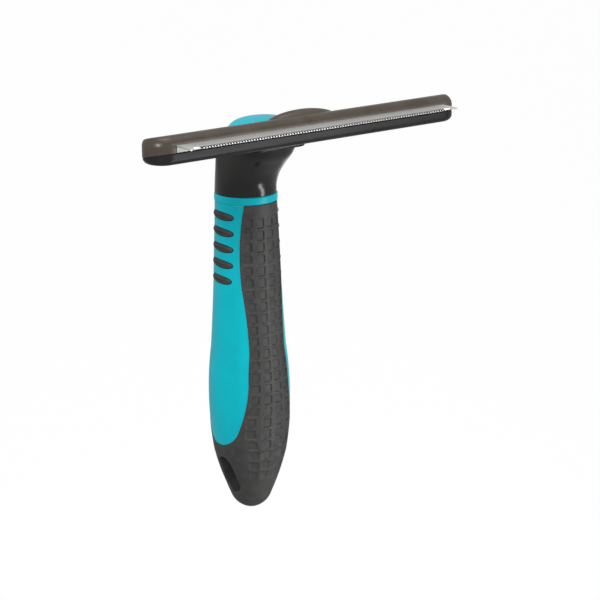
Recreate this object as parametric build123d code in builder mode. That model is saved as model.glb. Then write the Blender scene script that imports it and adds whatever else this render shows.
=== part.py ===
"""Undercoat rake: T-shaped deshedding tool with a toothed blade and a sprung fur-eject button.

Frame (mm): origin at the centre of the hang hole's round lower end, +X along the blade bar,
-Y the way the teeth point, +Z up the handle towards the head.
"""
import math
import os
from build123d import *

# ---------------- driving dimensions (mm) ----------------
# handle: outside of the grip as arcs of (radius, height), tip to collar
GRIP_ARCS = [((0.0, -13.0), (4.9, -11.2), (8.4, -6.4)), ((8.4, -6.4), (12.0, 3.0), (14.75, 12.6)),
             ((14.75, 12.6), (16.65, 33.0), (15.35, 56.6)), ((15.35, 56.6), (13.65, 86.0), (12.6, 116.5))]
GRIP_TOP = 116.5
RUBBER = 1.6            # thickness of the rubber sleeve
COLLAR_TOP = 119.5
COLLAR_R = 12.6
# side windows in the rubber, one half as arcs of (half width, height), collar to the round foot
WINDOW_ARCS = [((9.7, 115.5), (8.72, 101.0), (9.7, 83.0)), ((9.7, 83.0), (11.95, 65.0), (13.1, 47.0)),
               ((13.1, 47.0), (12.6, 34.5), (9.6, 23.5)), ((9.6, 23.5), (5.9, 19.0), (0.0, 17.2))]
# ribs on the bare sides
PAD_Z = [111.6, 105.2, 98.8, 92.4, 86.0]
PAD_L, PAD_H, PAD_PROUD, PAD_FLOOR = 12.8, 3.0, 0.45, 10.4
# hang hole
HOLE_R, HOLE_LOW = 4.7, 0.0
HOLE_TIP_R, HOLE_HIGH = 4.1, 7.3
HOLE_LINER = 1.2        # rubber around the hole
# neck joint
SPIGOT_R, SPIGOT_FOOT = 8.0, 98.0
SOCKET_R, SOCKET_FOOT = 8.05, 97.0
PIN_R, PIN_Z = 1.5, 102.0
# neck sections as (height, half width, front depth, back depth, squareness of the front half)
NECK = [(119.5, 12.35, 11.9, 12.6, 2.0), (123.0, 12.3, 12.1, 12.2, 2.05), (127.5, 12.5, 14.1, 11.0, 2.2),
        (132.5, 12.9, 18.1, 8.9, 2.5), (136.5, 13.3, 21.8, 6.8, 2.8), (139.8, 13.6, 23.7, 5.6, 3.0)]
FLANGE_Z, FLANGE_T = 139.8, 1.5
FLANGE_X, FLANGE_FRONT, FLANGE_BACK, FLANGE_R = 14.0, -24.0, 9.0, 5.5
# blade bar
BAR_L, BAR_FRONT, BAR_BACK = 141.6, -46.0, -31.4
BAR_FOOT = 145.75
BAR_TOP, EDGE_TOP, EDGE_FOOT = 156.1, 4.0, 2.5
PART_FRONT, PART_BACK = 150.2, 146.9      # parting line height at the front and the back
CROWN = [(-49.0, 156.8), (-40.0, 155.75), (-28.4, 151.9)]     # top face, front to back
HUMP_X, HUMP_Y, HUMP_H, HUMP_AT = 21.0, 6.5, 6.3, (-38.6, 151.5)
BLADE_Z, BLADE_T = 152.5, 0.6
BLADE_X, BLADE_BACK = 62.2, -34.5
TOOTH_N, TOOTH_PITCH, TOOTH_ROOT, TOOTH_TIP = 93, 1.22, -52.6, -54.2
HORN_TIP = -55.0
SLOT_X = 62.3
DECK_Z = 150.1
# ejector
TRAVEL = 7.5
STRIP_FRONT, STRIP_BACK, STRIP_FOOT, STRIP_T, STRIP_TOP = -45.7, -39.7, 150.4, 0.8, 152.2
STRIP_X = SLOT_X - 0.35
TONGUE_T, STEP_REAR, STEP_T = 0.8, -33.5, 2.0
BLOCK_X, BLOCK_BACK, BLOCK_TOP = 8.2, -10.8, 147.1
BLOCK_FRONT, BLOCK_LIFT = -32.6, 143.1      # its nose, and the underside ahead of the flange
WELL_X, WELL_FRONT, WELL_BACK, WELL_FLOOR = 7.0, -26.4, -11.9, 144.0
PLATE_X, PLATE_REAR, PLATE_Z, PLATE_T = 6.8, -3.0, 147.4, 1.0
CHANNEL_X, CHANNEL_FRONT = 7.2, -43.4
LUG_FRONT, LUG_BACK, LUG_FOOT = -14.6, -12.2, 144.4
ROD_R, ROD_X, ROD_Z, ROD_AT, ROD_L = 0.8, 4.3, 145.7, -19.6, 16.8
WIRE_R, COIL_R, COIL_TURNS = 0.2, 1.2, 7.5
BUTTON_X, BUTTON_Y, BUTTON_AT = 14.0, 10.3, -9.9
BUTTON_FOOT, BUTTON_TOP = 141.7, 150.9
TUNNEL_X, TUNNEL_REAR = 8.6, -3.0
# screws
HEAD_SCREWS = [(-45.0, -36.6), (-20.0, -36.6), (20.0, -36.6), (45.0, -36.6)]
BOSS_R = 2.0
NECK_SCREWS = [(-4.6, -13.5), (4.6, -13.5)]
RIVETS = [-5.0, 5.0]
MID = (BAR_FRONT + BAR_BACK) / 2

os.makedirs("parts", exist_ok=True)


# ---------------- helpers ----------------
def turned(offset, top):
    """Handle blank turned about Z, its outside moved out by offset (in when negative)."""
    moved = []
    for arc in GRIP_ARCS:
        (ax, az), (bx, bz), (cx, cz) = arc
        d = 2 * (ax * (bz - cz) + bx * (cz - az) + cx * (az - bz))
        ux = ((ax**2 + az**2) * (bz - cz) + (bx**2 + bz**2) * (cz - az) + (cx**2 + cz**2) * (az - bz)) / d
        uz = ((ax**2 + az**2) * (cx - bx) + (bx**2 + bz**2) * (ax - cx) + (cx**2 + cz**2) * (bx - ax)) / d
        radius = math.hypot(ax - ux, az - uz)
        inside = 1 if bx > ux else -1      # the centre lies on the axis side of a convex arc
        k = (radius + inside * offset) / radius
        moved.append([(ux + (x - ux) * k, uz + (z - uz) * k) for x, z in arc])
    moved[0][0] = (0.0, GRIP_ARCS[0][0][1] - offset)
    for i in range(1, len(moved)):
        joint = [(p + q) / 2 for p, q in zip(moved[i - 1][2], moved[i][0])]
        moved[i - 1][2] = moved[i][0] = tuple(joint)
    moved[-1][2] = (GRIP_ARCS[-1][2][0] + offset, top)
    with BuildPart() as blank:
        with BuildSketch(Plane.YZ):
            with BuildLine():
                for arc in moved:
                    ThreePointArc(*arc)
                Polyline(moved[-1][2], (0.0, top), moved[0][0])
            make_face()
        revolve(axis=Axis.Z)
    return blank.part


def hang_hole(grow=0.0):
    """Egg-shaped prism along X, wide end down."""
    low_r, tip_r = HOLE_R + grow, HOLE_TIP_R + grow
    s = (low_r - tip_r) / (HOLE_HIGH - HOLE_LOW)
    c = math.sqrt(1 - s * s)
    with BuildPart() as egg:
        with BuildSketch(Plane.YZ.offset(-30)):
            with Locations((0, HOLE_LOW)):
                Circle(low_r)
            with Locations((0, HOLE_HIGH)):
                Circle(tip_r)
            with BuildLine():
                Polyline((-low_r * c, HOLE_LOW + low_r * s), (low_r * c, HOLE_LOW + low_r * s),
                         (tip_r * c, HOLE_HIGH + tip_r * s), (-tip_r * c, HOLE_HIGH + tip_r * s),
                         close=True)
            make_face()
        extrude(amount=60)
    return egg.part


def windows():
    """Both side windows as prisms along X, open at the collar."""
    top = GRIP_TOP + 1
    with BuildPart() as cut:
        for side in (-1, 1):
            with BuildSketch(Plane.YZ.offset(side * 2.0)):
                with BuildLine():
                    for flip in (-1, 1):
                        for arc in WINDOW_ARCS:
                            ThreePointArc(*[(flip * y, z) for y, z in arc])
                    y0, z0 = WINDOW_ARCS[0][0]
                    Polyline((-y0, z0), (-y0 - 0.1, top), (y0 + 0.1, top), (y0, z0))
                make_face()
            extrude(amount=side * 20)
    return cut.part


def rib_pocket(z, side, depth_to):
    """Prism of one rib, from its flat floor outwards along X."""
    with BuildPart() as rib:
        with BuildSketch(Plane.YZ.offset(side * PAD_FLOOR)):
            with Locations((0, z)):
                SlotOverall(PAD_L - (0.8 if z == PAD_Z[-1] else 0.0), PAD_H, rotation=2.5)
        extrude(amount=side * depth_to)
    return rib.part


def stadium(bottom, top, grow=0.0):
    """Plan outline of the bar between two heights."""
    with BuildPart() as bar:
        with BuildSketch(Plane.XY.offset(bottom)):
            with Locations((0, MID)):
                SlotOverall(BAR_L + 2 * grow, BAR_BACK - BAR_FRONT + 2 * grow)
        extrude(amount=top - bottom)
    return bar.part


def above_parting(keep_above):
    """Half space on one side of the sloping parting face, as a block."""
    slope = (PART_BACK - PART_FRONT) / (BAR_BACK - BAR_FRONT)
    a, b = BAR_FRONT - 3, BAR_BACK + 3
    za, zb = PART_FRONT + slope * (a - BAR_FRONT), PART_FRONT + slope * (b - BAR_FRONT)
    far = 170.0 if keep_above else 130.0
    with BuildPart() as block:
        with BuildSketch(Plane.YZ.offset(-80)):
            with BuildLine():
                Polyline((a, za), (b, zb), (b, far), (a, far), close=True)
            make_face()
        extrude(amount=160)
    return block.part


def box(x0, x1, y0, y1, z0, z1):
    """Plain block between limits."""
    with BuildPart() as b:
        with Locations(((x0 + x1) / 2, (y0 + y1) / 2, (z0 + z1) / 2)):
            Box(x1 - x0, y1 - y0, z1 - z0)
    return b.part


def save(builder, name):
    """Label a sub-part and write its file."""
    builder.part.label = name
    export_step(builder.part, f"parts/{name}.step")


outer = turned(0.0, GRIP_TOP)
inner = turned(-RUBBER, GRIP_TOP)
hole = hang_hole()
liner = hang_hole(HOLE_LINER)
side_windows = windows()

# ---------------- handle ----------------
pockets = [rib_pocket(z, side, 10) for side in (-1, 1) for z in PAD_Z]
with BuildPart() as handle_core:
    add(side_windows)
    add(outer, mode=Mode.INTERSECT)
    add(inner)
    for pocket in pockets:
        add(pocket, mode=Mode.SUBTRACT)
    with Locations((0, 0, (SOCKET_FOOT + GRIP_TOP + 1) / 2)):
        Cylinder(SOCKET_R, GRIP_TOP + 1 - SOCKET_FOOT, mode=Mode.SUBTRACT)
    with Locations(Plane.XZ.offset(0).location * Pos(0, PIN_Z, 0)):
        Cylinder(PIN_R, 40, mode=Mode.SUBTRACT)
    add(liner, mode=Mode.SUBTRACT)
save(handle_core, "handle_core")

tube = liner & inner
with BuildPart() as grip_sleeve:
    add(outer)
    add(inner, mode=Mode.SUBTRACT)
    add(side_windows, mode=Mode.SUBTRACT)
    add(tube)
    add(hole, mode=Mode.SUBTRACT)
save(grip_sleeve, "grip_sleeve")

proud = turned(PAD_PROUD, GRIP_TOP)
for side, word in ((-1, "left"), (1, "right")):
    for n, z in enumerate(PAD_Z):
        blank = rib_pocket(z, side, 10)
        with BuildPart() as grip_rib:
            add(blank)
            add(proud, mode=Mode.INTERSECT)
        save(grip_rib, f"{word}_grip_rib_{n + 1}")

with BuildPart() as collar_ring:
    with BuildSketch(Plane.XY.offset(GRIP_TOP)):
        Circle(COLLAR_R)
        Circle(SOCKET_R, mode=Mode.SUBTRACT)
    extrude(amount=COLLAR_TOP - GRIP_TOP)
    fillet(collar_ring.edges().filter_by(GeomType.CIRCLE).group_by(Axis.Z)[-1].sort_by(
        SortBy.RADIUS)[-1], 0.5)
    fillet(collar_ring.edges().filter_by(GeomType.CIRCLE).group_by(Axis.Z)[0].sort_by(
        SortBy.RADIUS)[-1], 0.3)
save(collar_ring, "collar_ring")

# ---------------- neck ----------------
with BuildPart() as neck:
    for z, half, front, back, square in NECK:
        with BuildSketch(Plane.XY.offset(z)):
            with BuildLine():
                ring = []
                for k in range(24):
                    c, d = math.cos(2 * math.pi * k / 24), math.sin(2 * math.pi * k / 24)
                    power = 1.0 if d > 0 else 2.0 / square
                    ring.append((math.copysign(half * abs(c)**power, c),
                                 math.copysign((back if d > 0 else front) * abs(d)**power, d)))
                Spline(*ring, periodic=True)
            make_face()
    loft()
    with BuildSketch(Plane.XY.offset(SPIGOT_FOOT)):
        Circle(SPIGOT_R)
    extrude(amount=NECK[0][0] - SPIGOT_FOOT)
    with Locations(Plane.XZ.offset(0).location * Pos(0, PIN_Z, 0)):
        Cylinder(PIN_R, 40, mode=Mode.SUBTRACT)
    with Locations([(x, y, 137.0) for x, y in NECK_SCREWS]):
        Cylinder(1.1, 6.0, mode=Mode.SUBTRACT)
save(neck, "neck")

with BuildPart() as neck_pin:
    with Locations(Plane.XZ.offset(0).location * Pos(0, PIN_Z, 0)):
        Cylinder(PIN_R, 21.0)
    chamfer(neck_pin.edges().filter_by(GeomType.CIRCLE), 0.2)
save(neck_pin, "neck_pin")

# ---------------- head: lower casing with the spring block and the flange ----------------
plain_bar = stadium(BAR_FOOT, BAR_TOP)
with BuildPart() as round_bar:
    add(plain_bar)
    fillet(round_bar.faces().sort_by(Axis.Z)[0].edges(), EDGE_FOOT)
    fillet(round_bar.faces().sort_by(Axis.Z)[-1].edges(), EDGE_TOP)
below = above_parting(False)
with BuildPart() as head_body:
    add(round_bar.part)
    add(below, mode=Mode.INTERSECT)
    add(box(-SLOT_X + 0.5, SLOT_X - 0.5, -45.0, -37.5, BAR_FOOT + 2, DECK_Z))
    add(box(-BLOCK_X, BLOCK_X, BLOCK_FRONT, BLOCK_BACK, BLOCK_LIFT, BLOCK_TOP))
    add(box(-BLOCK_X, BLOCK_X, FLANGE_FRONT, BLOCK_BACK, FLANGE_Z + 1, BLOCK_TOP))
    for x, y in HEAD_SCREWS:
        with Locations((x, y, (BAR_FOOT + 1.5 + BLADE_Z) / 2)):
            Cylinder(BOSS_R, BLADE_Z - BAR_FOOT - 1.5)
    with BuildSketch(Plane.XY.offset(FLANGE_Z)):
        with Locations((0, (FLANGE_FRONT + FLANGE_BACK) / 2)):
            RectangleRounded(2 * FLANGE_X, FLANGE_BACK - FLANGE_FRONT, FLANGE_R)
    extrude(amount=FLANGE_T)
    # channel for the carriage, spring well and rod seats
    add(box(-CHANNEL_X, CHANNEL_X, CHANNEL_FRONT, -30.0, BLOCK_TOP, 152.0), mode=Mode.SUBTRACT)
    add(box(-WELL_X, WELL_X, WELL_FRONT, WELL_BACK, WELL_FLOOR, 152.0), mode=Mode.SUBTRACT)
    for x in (-ROD_X, ROD_X):
        with Locations(Plane.XZ.offset(-ROD_AT).location * Pos(x, ROD_Z, 0)):
            Cylinder(ROD_R, ROD_L, mode=Mode.SUBTRACT)
    for x, y in HEAD_SCREWS:
        with Locations((x, y, 149.0)):
            Cylinder(1.25, 12.0, mode=Mode.SUBTRACT)
        with Locations((x, y, BAR_FOOT + 0.7)):
            Cylinder(2.35, 1.4, mode=Mode.SUBTRACT)
    for x, y in NECK_SCREWS:
        with Locations((x, y, 142.0)):
            Cylinder(1.2, 6.0, mode=Mode.SUBTRACT)
        with Locations((x, y, WELL_FLOOR - 0.65)):
            Cylinder(2.1, 1.5, mode=Mode.SUBTRACT)
save(head_body, "head_body")

# ---------------- head: upper cover ----------------
above = above_parting(True)
with BuildPart() as crown_blank:
    with BuildSketch(Plane.YZ.offset(-80)):
        with BuildLine():
            top = ThreePointArc(CROWN[0], CROWN[1], CROWN[2])
            Polyline(top @ 1, (CROWN[2][0], 140.0), (CROWN[0][0], 140.0), top @ 0)
        make_face()
    extrude(amount=160)
with BuildPart() as hump_blank:
    Sphere(1.0)
hump = scale(hump_blank.part, by=(HUMP_X, HUMP_Y, HUMP_H)).moved(Location((0, *HUMP_AT)))
hump = hump & box(-30, 30, BAR_FRONT, BAR_BACK, BLADE_Z + BLADE_T + 0.2, 160.0)
with BuildPart() as bar_cover:
    add(round_bar.part)
    add(above, mode=Mode.INTERSECT)
    add(crown_blank.part, mode=Mode.INTERSECT)
    add(hump)
    # blade seat, strip slot and hollow over the deck
    add(box(-SLOT_X, SLOT_X, -50.0, BLADE_BACK, 140.0, BLADE_Z + BLADE_T), mode=Mode.SUBTRACT)
    add(box(-CHANNEL_X, CHANNEL_X, -44.0, STEP_REAR + 0.4, 140.0, 152.4), mode=Mode.SUBTRACT)
    add(box(-CHANNEL_X, CHANNEL_X, -34.0, -20.0, 140.0, PLATE_Z + PLATE_T + 0.4), mode=Mode.SUBTRACT)
    add(box(-BLOCK_X, BLOCK_X, BLOCK_FRONT, -20.0, 140.0, BLOCK_TOP), mode=Mode.SUBTRACT)
    for x, y in HEAD_SCREWS:
        with Locations((x, y, 150.0)):
            Cylinder(1.15, 8.0, mode=Mode.SUBTRACT)
save(bar_cover, "bar_cover")

# ---------------- blade ----------------
with BuildPart() as blade:
    with BuildSketch(Plane.XY.offset(BLADE_Z)):
        with BuildLine():
            first = -(TOOTH_N - 1) / 2 * TOOTH_PITCH
            pts = [(-BLADE_X, BLADE_BACK), (-BLADE_X, HORN_TIP), (-BLADE_X + 0.5, HORN_TIP),
                   (-BLADE_X + 2.6, TOOTH_ROOT - 0.25), (first - 0.75, TOOTH_ROOT)]
            for n in range(TOOTH_N):
                x = first + n * TOOTH_PITCH
                pts += [(x - 0.38, TOOTH_ROOT), (x - 0.17, TOOTH_TIP), (x + 0.17, TOOTH_TIP),
                        (x + 0.38, TOOTH_ROOT)]
            pts += [(-first + 0.75, TOOTH_ROOT), (BLADE_X - 2.6, TOOTH_ROOT - 0.25),
                    (BLADE_X - 0.5, HORN_TIP), (BLADE_X, HORN_TIP), (BLADE_X, BLADE_BACK)]
            Polyline(*pts, close=True)
        make_face()
        with Locations(*[(x, y) for x, y in HEAD_SCREWS]):
            Circle(1.35, mode=Mode.SUBTRACT)
    extrude(amount=BLADE_T)
save(blade, "blade")

# ---------------- ejector: strip, rivets, carriage ----------------
with BuildPart() as ejector_strip:
    add(box(-STRIP_X, STRIP_X, STRIP_FRONT, STRIP_BACK, STRIP_FOOT, STRIP_FOOT + STRIP_T))
    add(box(-STRIP_X, STRIP_X, STRIP_FRONT, STRIP_FRONT + 0.8, STRIP_FOOT, STRIP_TOP))
    with Locations(*[(x, STRIP_FRONT + 3.4, STRIP_FOOT) for x in RIVETS]):
        Cylinder(0.9, 4.0, mode=Mode.SUBTRACT)
save(ejector_strip, "ejector_strip")

tongue_z = STRIP_FOOT + STRIP_T
with BuildPart() as strip_rivets:
    with Locations(*[(x, STRIP_FRONT + 3.4, (STRIP_FOOT + tongue_z + TONGUE_T) / 2) for x in RIVETS]):
        Cylinder(0.9, tongue_z + TONGUE_T - STRIP_FOOT)
    with Locations(*[(x, STRIP_FRONT + 3.4, tongue_z + TONGUE_T + 0.1) for x in RIVETS]):
        Cylinder(1.5, 0.2)
save(strip_rivets, "strip_rivets")

with BuildPart() as ejector_carriage:
    add(box(-PLATE_X, PLATE_X, STEP_REAR - STEP_T, PLATE_REAR, PLATE_Z, PLATE_Z + PLATE_T))
    add(box(-PLATE_X, PLATE_X, STEP_REAR - STEP_T, STEP_REAR, PLATE_Z, tongue_z + TONGUE_T))
    add(box(-PLATE_X, PLATE_X, STRIP_FRONT + 1.2, STEP_REAR - 1.0, tongue_z, tongue_z + TONGUE_T))
    add(box(-WELL_X + 0.4, WELL_X - 0.4, LUG_FRONT, LUG_BACK, LUG_FOOT, PLATE_Z + 0.5))
    for x in (-ROD_X, ROD_X):
        with Locations(Plane.XZ.offset(13.0).location * Pos(x, ROD_Z, 0)):
            Cylinder(ROD_R + 0.08, 8.0, mode=Mode.SUBTRACT)
    with Locations(*[(x, STRIP_FRONT + 3.4, tongue_z) for x in RIVETS]):
        Cylinder(0.9, 4.0, mode=Mode.SUBTRACT)
save(ejector_carriage, "ejector_carriage")

# ---------------- button ----------------
with BuildPart() as eject_button:
    with BuildSketch(Plane.XY.offset(BUTTON_FOOT)):
        with Locations((0, BUTTON_AT)):
            Ellipse(BUTTON_X, BUTTON_Y)
    extrude(amount=BUTTON_TOP - BUTTON_FOOT)
    fillet(eject_button.faces().sort_by(Axis.Z)[-1].edges(), 5.2)
    fillet(eject_button.faces().sort_by(Axis.Z)[0].edges(), 0.4)
    add(box(-TUNNEL_X, TUNNEL_X, -30.0, TUNNEL_REAR, 130.0, BLOCK_TOP + 0.3), mode=Mode.SUBTRACT)
    add(box(-PLATE_X, PLATE_X, -30.0, TUNNEL_REAR, 130.0, PLATE_Z + PLATE_T), mode=Mode.SUBTRACT)
save(eject_button, "eject_button")

# ---------------- guide rods, springs, screws ----------------
for side, word in ((-1, "left"), (1, "right")):
    with BuildPart() as guide_rod:
        with Locations(Plane.XZ.offset(-ROD_AT).location * Pos(side * ROD_X, ROD_Z, 0)):
            Cylinder(ROD_R, ROD_L)
        chamfer(guide_rod.edges().filter_by(GeomType.CIRCLE), 0.15)
    save(guide_rod, f"guide_rod_{word}")
    gap = 0.1
    height = LUG_FRONT - WELL_FRONT - 2 * (WIRE_R + gap)
    with BuildPart() as return_spring:
        with BuildLine():
            coil = Helix(height / COIL_TURNS, height, COIL_R, direction=(0, 1, 0),
                         center=(side * ROD_X, WELL_FRONT + WIRE_R + gap, ROD_Z))
        with BuildSketch(Plane(coil @ 0, z_dir=coil % 0)):
            Circle(WIRE_R)
        sweep(is_frenet=True)
    save(return_spring, f"return_spring_{word}")

with BuildPart() as head_screws:
    for x, y in HEAD_SCREWS:
        with Locations((x, y, BAR_FOOT + 0.75)):
            Cylinder(2.3, 1.3)
        with Locations((x, y, (BAR_FOOT + 1.4 + 153.9) / 2)):
            Cylinder(1.1, 153.9 - BAR_FOOT - 1.4)
        with Locations((x, y, BAR_FOOT + 0.3)):
            Box(2.6, 0.5, 0.9, mode=Mode.SUBTRACT)
            Box(0.5, 2.6, 0.9, mode=Mode.SUBTRACT)
save(head_screws, "head_screws")

with BuildPart() as neck_screws:
    for x, y in NECK_SCREWS:
        with Locations((x, y, WELL_FLOOR - 0.75)):
            Cylinder(2.0, 1.3)
        with Locations((x, y, (WELL_FLOOR - 1.2 + 134.1) / 2)):
            Cylinder(1.1, WELL_FLOOR - 1.2 - 134.1)
        with Locations((x, y, WELL_FLOOR - 0.3)):
            Box(2.2, 0.5, 0.9, mode=Mode.SUBTRACT)
            Box(0.5, 2.2, 0.9, mode=Mode.SUBTRACT)
save(neck_screws, "neck_screws")
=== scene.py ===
"""Looks of the undercoat rake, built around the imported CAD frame.

Pieces are worked out in mm and turned into metres by new_object and prism, in the frame's own axes: X along the
bar, -Y the way the teeth point, Z up the handle, with the origin in the hang hole.
"""
import math

import bmesh
import bpy
import numpy as np
from mathutils import Matrix, Vector


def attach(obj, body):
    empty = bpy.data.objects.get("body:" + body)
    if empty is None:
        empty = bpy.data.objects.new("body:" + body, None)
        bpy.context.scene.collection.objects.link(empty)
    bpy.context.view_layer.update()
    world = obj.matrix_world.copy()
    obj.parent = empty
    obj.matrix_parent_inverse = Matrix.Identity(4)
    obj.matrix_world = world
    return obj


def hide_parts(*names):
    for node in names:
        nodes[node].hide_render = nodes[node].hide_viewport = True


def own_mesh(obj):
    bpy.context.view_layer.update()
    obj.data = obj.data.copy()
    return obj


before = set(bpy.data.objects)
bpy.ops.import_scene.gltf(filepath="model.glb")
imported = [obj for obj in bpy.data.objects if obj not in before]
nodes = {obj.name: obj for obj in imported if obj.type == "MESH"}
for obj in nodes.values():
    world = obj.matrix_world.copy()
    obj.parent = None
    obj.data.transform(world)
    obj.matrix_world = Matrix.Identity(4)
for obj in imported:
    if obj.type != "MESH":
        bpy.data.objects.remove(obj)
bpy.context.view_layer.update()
MM = 0.001
WELD_RINGS, WELD_FINE = 2e-6, 1e-7                  # m, merging distance for coarse and for finely stepped rings


# ---------------------------------------------------------------- profiles (mm)
def arc_points(a, b, c, step):
    """Points along the circular arc through a, b and c."""
    (ax, az), (bx, bz), (cx, cz) = a, b, c
    d = 2 * (ax * (bz - cz) + bx * (cz - az) + cx * (az - bz))
    ux = ((ax**2 + az**2) * (bz - cz) + (bx**2 + bz**2) * (cz - az) + (cx**2 + cz**2) * (az - bz)) / d
    uz = ((ax**2 + az**2) * (cx - bx) + (bx**2 + bz**2) * (ax - cx) + (cx**2 + cz**2) * (bx - ax)) / d
    r = math.hypot(ax - ux, az - uz)
    t0, t1, t2 = np.unwrap([math.atan2(p[1] - uz, p[0] - ux) for p in (a, b, c)])
    t = np.linspace(t0, t2, max(2, int(abs(t2 - t0) * r / step) + 1))
    return np.stack([ux + r * np.cos(t), uz + r * np.sin(t)], 1)


def chain(arcs, step):
    """Arcs joined end to end, as one list of points."""
    parts = [arc_points(*arc, step) for arc in arcs]
    return np.concatenate([parts[0]] + [p[1:] for p in parts[1:]])


GRIP_ARCS = [((0.0, -13.0), (4.9, -11.2), (8.4, -6.4)), ((8.4, -6.4), (12.0, 3.0), (14.75, 12.6)),
             ((14.75, 12.6), (16.65, 33.0), (15.35, 56.6)), ((15.35, 56.6), (13.65, 86.0), (12.6, 116.5))]
WINDOW_ARCS = [((9.7, 115.5), (8.72, 101.0), (9.7, 83.0)), ((9.7, 83.0), (11.95, 65.0), (13.1, 47.0)),
               ((13.1, 47.0), (12.6, 34.5), (9.6, 23.5)), ((9.6, 23.5), (5.9, 19.0), (0.0, 17.2))]
GRIP_TOP, COLLAR_TOP = 116.5, 119.5
PROFILE_STEP = 0.05
profile = chain(GRIP_ARCS, PROFILE_STEP)            # (radius, height) from the tip up
run = np.concatenate([[0], np.cumsum(np.hypot(*np.diff(profile, axis=0).T))])
window = chain(WINDOW_ARCS, PROFILE_STEP)           # (half width, height)
window = window[np.argsort(window[:, 1])]


def radius_at(z):
    """Radius of the turned grip at a height."""
    return np.interp(z, profile[:, 1], profile[:, 0])


def window_at(z):
    """Half width of the bare side window at a height, 0 below its foot."""
    return np.where(np.asarray(z) <= window[0, 1], 0.0, np.interp(z, window[:, 1], window[:, 0]))


def smooth(x, a, b):
    """0 below a, 1 above b, and an S-curve between."""
    t = np.clip((x - a) / (b - a), 0, 1)
    return t * t * (3 - 2 * t)


# ---------------------------------------------------------------- mesh helpers
def scratch(name, verts_mm, faces):
    """Helper object, not a piece, from vertices in mm."""
    mesh = bpy.data.meshes.new(name)
    mesh.from_pydata((np.asarray(verts_mm, float) * MM).tolist(), [], [list(map(int, f)) for f in faces])
    obj = bpy.data.objects.new(name, mesh)
    bpy.context.scene.collection.objects.link(obj)
    return obj


def new_object(name, verts_mm, faces, body, material):
    """Visible piece on a CAD body, from vertices in mm."""
    obj = scratch(name, verts_mm, faces)
    obj.data.validate()
    obj.data.materials.append(material)
    obj.data.polygons.foreach_set("use_smooth", [True] * len(obj.data.polygons))
    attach(obj, body)
    return obj


def grid_faces(rows, cols, wrap=False, base=0, flip=False):
    """Quads between rows of vertices; wrap closes each row, and base is the first vertex."""
    faces = []
    for i in range(rows - 1):
        low, high = base + i * cols, base + (i + 1) * cols
        for j in range(cols if wrap else cols - 1):
            k = (j + 1) % cols
            face = (low + j, low + k, high + k, high + j)
            faces.append(face[::-1] if flip else face)
    return faces


def end_caps(rows, cols, top=True):
    """Faces that close a stack of rings at its first ring and, with top, at its last."""
    last = (rows - 1) * cols
    return [list(range(cols))[::-1]] + ([list(range(last, last + cols))] if top else [])


def ring_bridge(rows, cols):
    """Quads from the last ring of a stack back to its first, so that it closes on itself."""
    last = (rows - 1) * cols
    return [(last + j, last + (j + 1) % cols, (j + 1) % cols, j) for j in range(cols)]


def weld(obj, dist=1e-6):
    """Merges vertices closer than dist (m) and turns all faces outwards."""
    bm = bmesh.new()
    bm.from_mesh(obj.data)
    bmesh.ops.remove_doubles(bm, verts=bm.verts, dist=dist)
    bmesh.ops.recalc_face_normals(bm, faces=bm.faces)
    bm.to_mesh(obj.data)
    bm.free()
    obj.data.update()


def apply_modifiers(obj):
    """Turns what the modifiers give into the object's own mesh."""
    bpy.context.view_layer.update()
    deps = bpy.context.evaluated_depsgraph_get()
    mesh = bpy.data.meshes.new_from_object(obj.evaluated_get(deps), preserve_all_data_layers=True, depsgraph=deps)
    obj.modifiers.clear()
    old = obj.data
    obj.data = mesh
    bpy.data.meshes.remove(old)


def combine(obj, other, operation):
    """Boolean of obj with a scratch solid, which is used up."""
    m = obj.modifiers.new("combine", "BOOLEAN")
    m.operation, m.solver, m.object = operation, "EXACT", other
    apply_modifiers(obj)
    bpy.data.objects.remove(other)


def cut(obj, *cutters):
    """Takes scratch solids out of obj, one after another."""
    for cutter in cutters:
        combine(obj, cutter, "DIFFERENCE")


def fuse(obj, *others):
    """Adds scratch solids to obj as one closed surface."""
    for other in others:
        combine(obj, other, "UNION")


def soften(obj, angle, width=0.0):
    """Smooth shading with sharp edges kept, and small rounds on them when width (mm) is given."""
    if width:
        m = obj.modifiers.new("round", "BEVEL")
        m.width, m.segments, m.limit_method = width * MM, 2, "ANGLE"
        m.angle_limit = math.radians(angle)
        m.use_clamp_overlap = True
        apply_modifiers(obj)
    mesh = obj.data
    mesh.polygons.foreach_set("use_smooth", [True] * len(mesh.polygons))
    mesh.set_sharp_from_angle(angle=math.radians(angle))
    mesh.update()


def prism(name, outline, lo, hi, axis):
    """Scratch prism of a 2-D outline between two heights along an axis (0, 1 or 2), in mm."""
    n = len(outline)
    verts = np.concatenate([np.insert(outline, axis, height, axis=1) for height in (lo, hi)])
    faces = [list(range(n)), list(range(2 * n - 1, n - 1, -1))]
    faces += [[j, (j + 1) % n, n + (j + 1) % n, n + j] for j in range(n)]
    obj = scratch(name, verts, faces)
    weld(obj)
    return obj


def block(x0, x1, y0, y1, z0, z1):
    """Scratch box between limits, in mm."""
    return prism("block", np.array([(x0, y0), (x1, y0), (x1, y1), (x0, y1)]), z0, z1, 2)


def rod(x, y, z0, z1, radius, n=40):
    """Scratch upright cylinder, in mm."""
    t = np.linspace(0, 2 * math.pi, n, endpoint=False)
    return prism("rod", np.stack([x + radius * np.cos(t), y + radius * np.sin(t)], 1), z0, z1, 2)


def stack_of_rings(name, rings, material, caps=False):
    """Closed piece out of rings of equal length, bottom to top; caps close the two ends."""
    n = len(rings[0])
    faces = grid_faces(len(rings), n, wrap=True)
    if caps:
        faces += end_caps(len(rings), n)
    obj = new_object(name, np.concatenate(rings), faces, "tool", material)
    weld(obj, WELD_RINGS)
    return obj


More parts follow.
